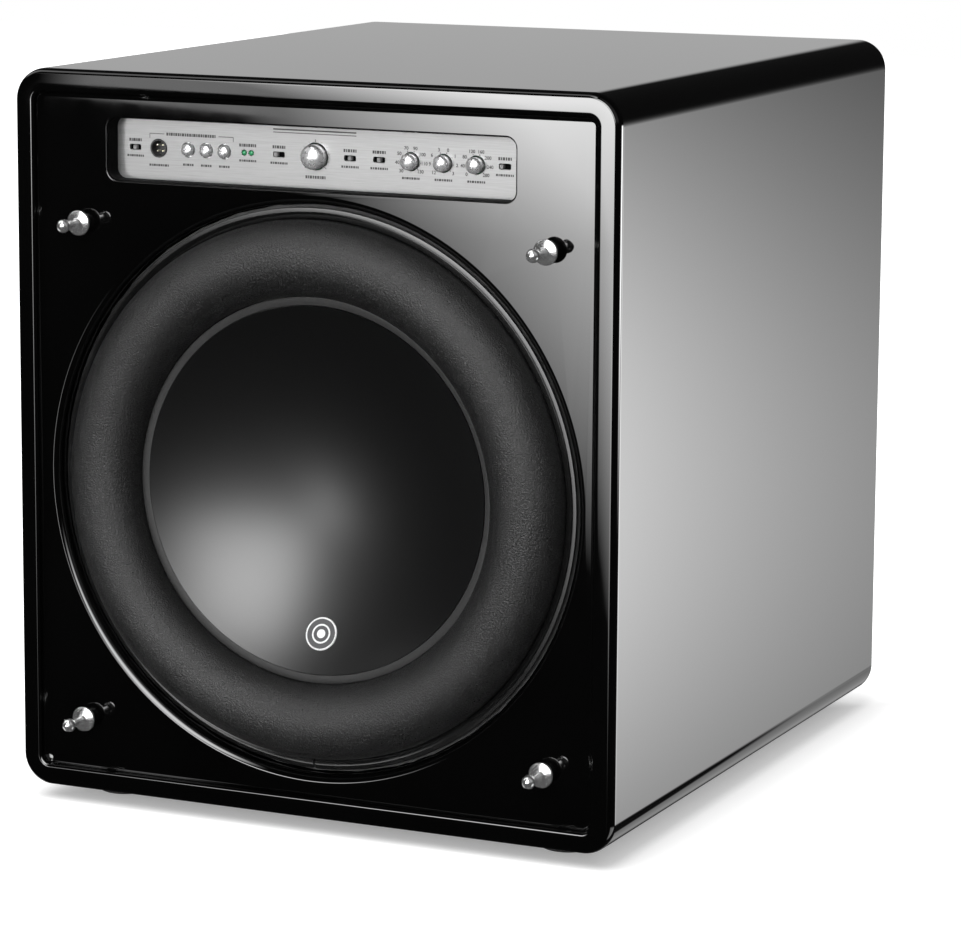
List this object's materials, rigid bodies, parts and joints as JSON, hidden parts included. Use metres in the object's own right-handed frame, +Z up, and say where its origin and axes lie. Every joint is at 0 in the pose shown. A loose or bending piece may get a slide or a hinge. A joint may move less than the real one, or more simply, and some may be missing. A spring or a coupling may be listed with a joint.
{
  "type": "subwoofer",
  "caption": "Sealed powered subwoofer: gloss cabinet, long-travel driver with a wide half-roll surround, recessed control strip, grille pegs, rear amplifier plate and rubber feet.",
  "frame": {"origin": "on the floor under the middle of the whole object's box, pegs included", "axes": "+Z up; the front, with the driver and controls, faces -Y; +X is to the right of someone looking at the front"},
  "size_m": [0.419, 0.513, 0.48],
  "materials": {
    "black_lacquer": "deep gloss black lacquer over fibreboard, polished",
    "bare_board": "raw fibreboard, sawn",
    "foot_rubber": "matte black moulded rubber",
    "peg_chrome": "turned and polished chrome",
    "cast_frame": "cast aluminium, black powder coat",
    "foam": "closed-cell foam gasket",
    "trim_gloss": "gloss black moulded ring",
    "surround_rubber": "finely grained matte black rubber",
    "cone_satin": "satin black moulded cone",
    "band_satin": "satin grey bonded band",
    "badge_silver": "satin silver with a dark field",
    "coil_former": "amber heat-resistant film",
    "copper": "enamelled copper wire",
    "spider_cloth": "treated corrugated cloth",
    "plated_steel": "zinc-plated steel",
    "ferrite": "dark grey ferrite",
    "bolt_steel": "black oxide steel",
    "brushed_aluminium": "horizontally brushed, clear anodised",
    "knob_silver": "satin silver, domed",
    "black_plastic": "black moulded plastic",
    "lamp_green": "green lamp lens",
    "circuit_board": "green circuit board",
    "amp_plate_black": "black anodised aluminium",
    "transformer_tape": "copper winding under amber tape",
    "capacitor_sleeve": "dark blue sleeve"
  },
  "bodies": {
    "cabinet": {"cabinet_shell": "black_lacquer", "front_baffle": "black_lacquer", "window_brace": "bare_board", "driver_frame": "cast_frame", "driver_gasket": "foam", "trim_ring": "trim_gloss", "surround": "surround_rubber", "spider": "spider_cloth", "top_plate": "plated_steel", "yoke": "plated_steel", "magnet": "ferrite", "control_plate": "brushed_aluminium", "control_board": "circuit_board", "amp_board": "circuit_board", "microphone_jack": "black_plastic", "signal_lamp": "lamp_green", "mode_lamp": "lamp_green", "amp_plate": "amp_plate_black", "heatsink": "amp_plate_black", "power_transformer": "transformer_tape", "upper_capacitor": "capacitor_sleeve", "lower_capacitor": "capacitor_sleeve", "balanced_input_left": "black_plastic", "balanced_input_right": "black_plastic", "line_input": "black_plastic", "power_inlet": "black_plastic", "driver_bolt_1": "bolt_steel", "driver_bolt_2": "bolt_steel", "driver_bolt_3": "bolt_steel", "driver_bolt_4": "bolt_steel", "driver_bolt_5": "bolt_steel", "driver_bolt_6": "bolt_steel", "foot_front_left": "foot_rubber", "foot_front_right": "foot_rubber", "foot_rear_left": "foot_rubber", "foot_rear_right": "foot_rubber", "grille_peg_top_left": "peg_chrome", "grille_peg_top_right": "peg_chrome", "grille_peg_bottom_left": "peg_chrome", "grille_peg_bottom_right": "peg_chrome"},
    "moving_cone": {"cone": "cone_satin", "cone_band": "band_satin", "badge": "badge_silver", "cone_skirt": "cone_satin", "coil_former": "coil_former", "voice_coil": "copper"},
    "master_knob": {"master_knob": "knob_silver"},
    "low_pass_knob": {"low_pass_knob": "knob_silver"},
    "trim_knob": {"trim_knob": "knob_silver"},
    "phase_knob": {"phase_knob": "knob_silver"},
    "first_button": {"first_button": "knob_silver"},
    "second_button": {"second_button": "knob_silver"},
    "third_button": {"third_button": "knob_silver"},
    "power_slide": {"power_slide": "black_plastic"},
    "level_slide": {"level_slide": "black_plastic"},
    "lights_slide": {"lights_slide": "black_plastic"},
    "filter_slide": {"filter_slide": "black_plastic"},
    "polarity_slide": {"polarity_slide": "black_plastic"},
    "input_mode_slide": {"input_mode_slide": "black_plastic"},
    "ground_slide": {"ground_slide": "black_plastic"}
  },
  "joints": [
    {"name": "cone_travel", "type": "slide", "parent": "cabinet", "child": "moving_cone", "axis": [0, -1, 0], "range_m": [-0.025, 0.025], "stiffness_N_per_m": 6500, "deforming": ["surround", "spider"]},
    {"name": "master_turn", "type": "hinge", "parent": "cabinet", "child": "master_knob", "pos_m": [-0.0032, -0.2135, 0.4309], "axis": [0, 1, 0], "range_deg": [-150, 150]},
    {"name": "low_pass_turn", "type": "hinge", "parent": "cabinet", "child": "low_pass_knob", "pos_m": [0.0626, -0.2135, 0.4309], "axis": [0, 1, 0], "range_deg": [-150, 150]},
    {"name": "trim_turn", "type": "hinge", "parent": "cabinet", "child": "trim_knob", "pos_m": [0.0848, -0.2135, 0.4309], "axis": [0, 1, 0], "range_deg": [-150, 150]},
    {"name": "phase_turn", "type": "hinge", "parent": "cabinet", "child": "phase_knob", "pos_m": [0.107, -0.2135, 0.4309], "axis": [0, 1, 0], "range_deg": [-150, 150]},
    {"name": "first_press", "type": "slide", "parent": "cabinet", "child": "first_button", "axis": [0, 1, 0], "range_m": [0, 0.0012], "stiffness_N_per_m": 600, "springref_m": -0.0005},
    {"name": "second_press", "type": "slide", "parent": "cabinet", "child": "second_button", "axis": [0, 1, 0], "range_m": [0, 0.0012], "stiffness_N_per_m": 600, "springref_m": -0.0005},
    {"name": "third_press", "type": "slide", "parent": "cabinet", "child": "third_button", "axis": [0, 1, 0], "range_m": [0, 0.0012], "stiffness_N_per_m": 600, "springref_m": -0.0005},
    {"name": "power_switch", "type": "slide", "parent": "cabinet", "child": "power_slide", "axis": [1, 0, 0], "range_m": [-0.002, 0.002]},
    {"name": "level_switch", "type": "slide", "parent": "cabinet", "child": "level_slide", "axis": [1, 0, 0], "range_m": [0, 0.004]},
    {"name": "lights_switch", "type": "slide", "parent": "cabinet", "child": "lights_slide", "axis": [1, 0, 0], "range_m": [-0.002, 0.002]},
    {"name": "filter_switch", "type": "slide", "parent": "cabinet", "child": "filter_slide", "axis": [1, 0, 0], "range_m": [-0.002, 0.002]},
    {"name": "polarity_switch", "type": "slide", "parent": "cabinet", "child": "polarity_slide", "axis": [1, 0, 0], "range_m": [0, 0.004]},
    {"name": "input_mode_switch", "type": "slide", "parent": "cabinet", "child": "input_mode_slide", "axis": [1, 0, 0], "range_m": [0, 0.004]},
    {"name": "ground_switch", "type": "slide", "parent": "cabinet", "child": "ground_slide", "axis": [1, 0, 0], "range_m": [0, 0.004]}
  ]
}
